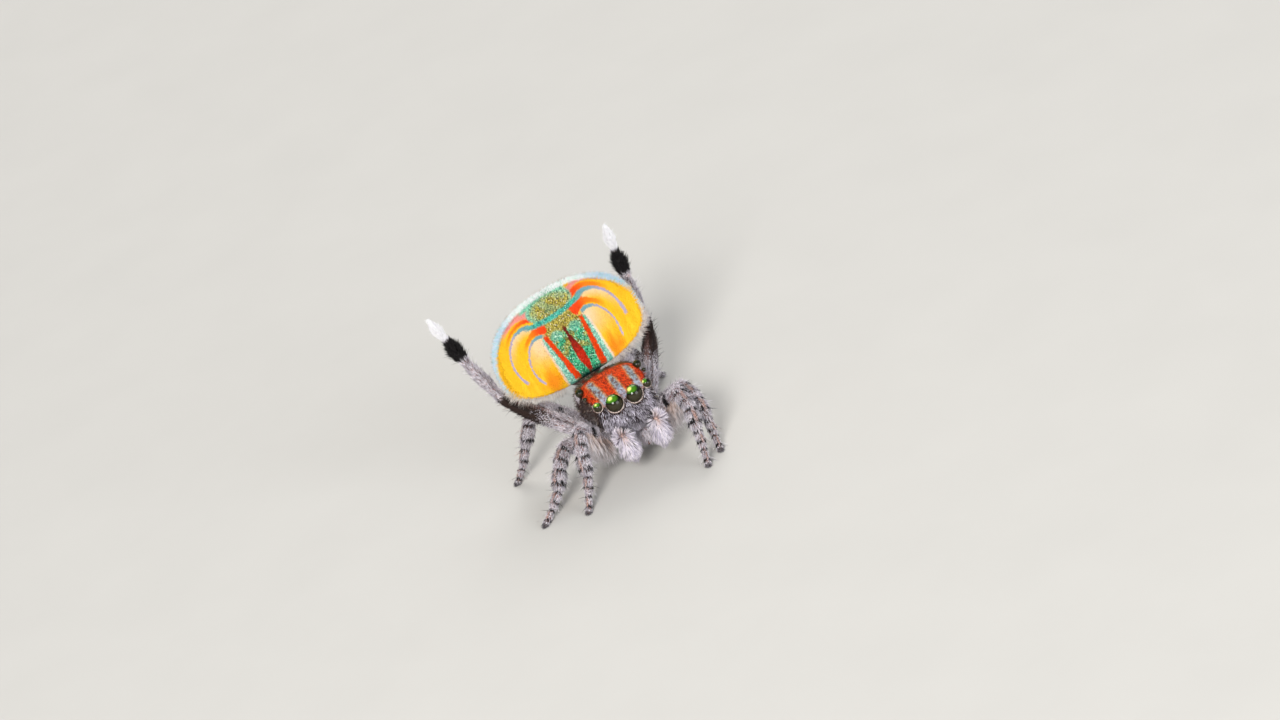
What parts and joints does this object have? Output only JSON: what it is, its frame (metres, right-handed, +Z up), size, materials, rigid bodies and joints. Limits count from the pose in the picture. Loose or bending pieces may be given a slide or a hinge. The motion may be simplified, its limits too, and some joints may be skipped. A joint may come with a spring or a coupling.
{
  "type": "peacock spider, male, in courtship display",
  "caption": "Small jumping spider with a raised, flat, oval fan on its abdomen, large front eyes and one pair of legs held up.",
  "frame": {"origin": "on the floor, under the middle of the whole spider's bounding box", "axes": "+Z up from the floor, -Y the way the spider faces, +X its own left"},
  "size_m": [0.0048, 0.0048, 0.004],
  "materials": {
    "carapace_scales": "fine orange-red scales with grey-blue stripes over dark cuticle",
    "cuticle": "dark brown satin cuticle",
    "grey_hair": "grey-white hair with black rings",
    "raised_foot_hair": "black brush, white at the tip",
    "palp_hair": "dense pale lavender hair",
    "fan_green": "glittering green and turquoise scales with red bars",
    "fan_gold": "golden-yellow scales with blue-lavender and orange-red curves",
    "eye_lens": "glossy dark lens with a green glow"
  },
  "bodies": {
    "root": {"abdomen": "fan_green", "carapace": "carapace_scales", "chelicera_left": "grey_hair", "chelicera_right": "grey_hair", "eye_main_left": "eye_lens", "eye_main_right": "eye_lens", "eye_rear_left": "eye_lens", "eye_rear_right": "eye_lens", "eye_side_left": "eye_lens", "eye_side_right": "eye_lens", "eye_small_left": "eye_lens", "eye_small_right": "eye_lens", "fan_flap_left": "fan_gold", "fan_flap_right": "fan_gold", "leg1_left_femur": "grey_hair", "leg1_left_foot": "grey_hair", "leg1_left_tibia": "grey_hair", "leg1_right_femur": "grey_hair", "leg1_right_foot": "grey_hair", "leg1_right_tibia": "grey_hair", "leg2_left_femur": "grey_hair", "leg2_left_foot": "grey_hair", "leg2_left_tibia": "grey_hair", "leg2_right_femur": "grey_hair", "leg2_right_foot": "grey_hair", "leg2_right_tibia": "grey_hair", "leg3_left_femur": "grey_hair", "leg3_left_foot": "raised_foot_hair", "leg3_left_tibia": "grey_hair", "leg3_right_femur": "grey_hair", "leg3_right_foot": "raised_foot_hair", "leg3_right_tibia": "grey_hair", "leg4_left_femur": "grey_hair", "leg4_left_foot": "grey_hair", "leg4_left_tibia": "grey_hair", "leg4_right_femur": "grey_hair", "leg4_right_foot": "grey_hair", "leg4_right_tibia": "grey_hair", "palp_arm_left": "grey_hair", "palp_arm_right": "grey_hair", "palp_brush_left": "palp_hair", "palp_brush_right": "palp_hair", "pedicel": "cuticle", "spinnerets": "grey_hair", "sternum": "cuticle"}
  },
  "joints": []
}
